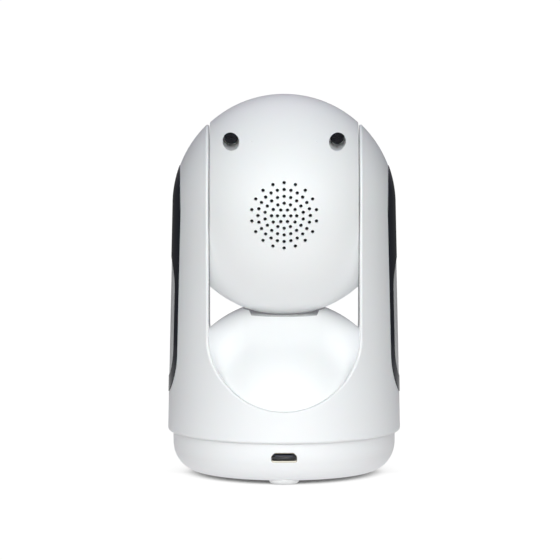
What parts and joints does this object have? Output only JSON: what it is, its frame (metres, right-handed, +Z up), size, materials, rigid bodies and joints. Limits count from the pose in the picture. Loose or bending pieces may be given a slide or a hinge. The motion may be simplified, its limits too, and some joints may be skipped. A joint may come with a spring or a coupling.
{
  "type": "baby monitor camera",
  "caption": "Pan-and-tilt baby monitor camera: a ball head with a speaker grille hangs between the arms of a slotted drum yoke, which turns on a round base with a power socket.",
  "frame": {"origin": "on the table, under the pan axis", "axes": "+Z up along the pan axis, the lens faces -Y at rest, the power socket faces +Y, the tilt axis runs along X"},
  "size_m": [0.08, 0.08, 0.131],
  "materials": {
    "white_shell": "satin moulded ABS",
    "white_gloss": "polished moulded ABS",
    "black_gloss": "polished, almost black",
    "silver_satin": "satin grey",
    "black_plastic": "fine texture",
    "acetal": "smooth acetal",
    "grey_plastic": "inner moulding",
    "rubber": "soft white pads",
    "foam": "closed-cell foam and adhesive",
    "cloth": "open weave",
    "steel": "zinc-plated",
    "black_steel": "black-oxide coated",
    "plated_shell": "tin-plated",
    "brass": "turned",
    "circuit_board": "solder-masked glass laminate",
    "board_parts": "moulded packages",
    "led_resin": "clear tinted resin",
    "optical_glass": "coated",
    "copper_film": "flexible printed film",
    "paper": "pressed paper",
    "cable": "leads in a sleeve"
  },
  "bodies": {
    "base": {"base_shell": "white_shell", "base_cover": "grey_plastic", "ballast_plate": "steel", "rubber_feet": "rubber", "tripod_insert": "brass", "power_board": "circuit_board", "power_board_parts": "board_parts", "small_base_screws": "steel", "socket_shell": "plated_shell", "socket_tongue": "black_plastic", "push_switch": "black_plastic", "base_screws": "steel", "base_loom": "cable", "pan_gear": "acetal", "pan_retainer": "steel"},
    "pair_button": {"pair_button": "white_shell"},
    "yoke": {"yoke_shell": "white_shell", "inner_cover": "white_gloss", "yoke_floor": "grey_plastic", "yoke_floor_screws": "steel", "left_side_panel": "black_gloss", "right_side_panel": "black_gloss", "left_side_insert": "silver_satin", "right_side_insert": "silver_satin", "tilt_bushes": "acetal", "tilt_anchor": "acetal", "tilt_motor_shaft": "steel", "yoke_loom": "cable", "pan_motor": "steel", "pan_motor_screws": "steel", "pan_bush": "acetal"},
    "pan_pinion": {"pan_pinion": "acetal", "pan_motor_shaft": "steel"},
    "head": {"head_rear_shell": "white_shell", "head_front_shell": "white_shell", "head_chassis": "black_plastic", "head_screws": "black_steel", "lens_window": "black_gloss", "window_gasket": "foam", "lens_bezel": "black_gloss", "lens_barrel": "black_plastic", "lens_elements": "optical_glass", "lens_holder": "black_plastic", "image_sensor": "board_parts", "sensor_board": "circuit_board", "head_board_screws": "steel", "infrared_leds": "led_resin", "light_sensor": "board_parts", "microphone": "board_parts", "main_board": "circuit_board", "main_board_parts": "board_parts", "antenna": "copper_film", "grille_cloth": "cloth", "speaker_gasket": "foam", "speaker_basket": "black_plastic", "speaker_cone": "paper", "speaker_magnet": "steel", "tilt_motor": "steel", "tilt_motor_screws": "steel", "head_loom": "cable"}
  },
  "joints": [
    {"name": "pan", "type": "hinge", "parent": "base", "child": "yoke", "pos_m": [0, 0, 0.0187], "axis": [0, 0, 1], "range_deg": [-175, 175]},
    {"name": "tilt", "type": "hinge", "parent": "yoke", "child": "head", "pos_m": [0, 0, 0.093], "axis": [-1, 0, 0], "range_deg": [-25, 85]},
    {"name": "pinion_spin", "type": "hinge", "parent": "yoke", "child": "pan_pinion", "pos_m": [0.01691, 0.00616, 0.0187], "axis": [0, 0, 1], "range_deg": [-530, 530]},
    {"name": "pair_button_press", "type": "slide", "parent": "base", "child": "pair_button", "axis": [0, 0, 1], "range_m": [0, 0.0005], "stiffness_N_per_m": 800, "springref_m": -0.0002}
  ],
  "couplings": [
    {"joint": "pinion_spin", "follows": "pan", "ratio": 3}
  ]
}
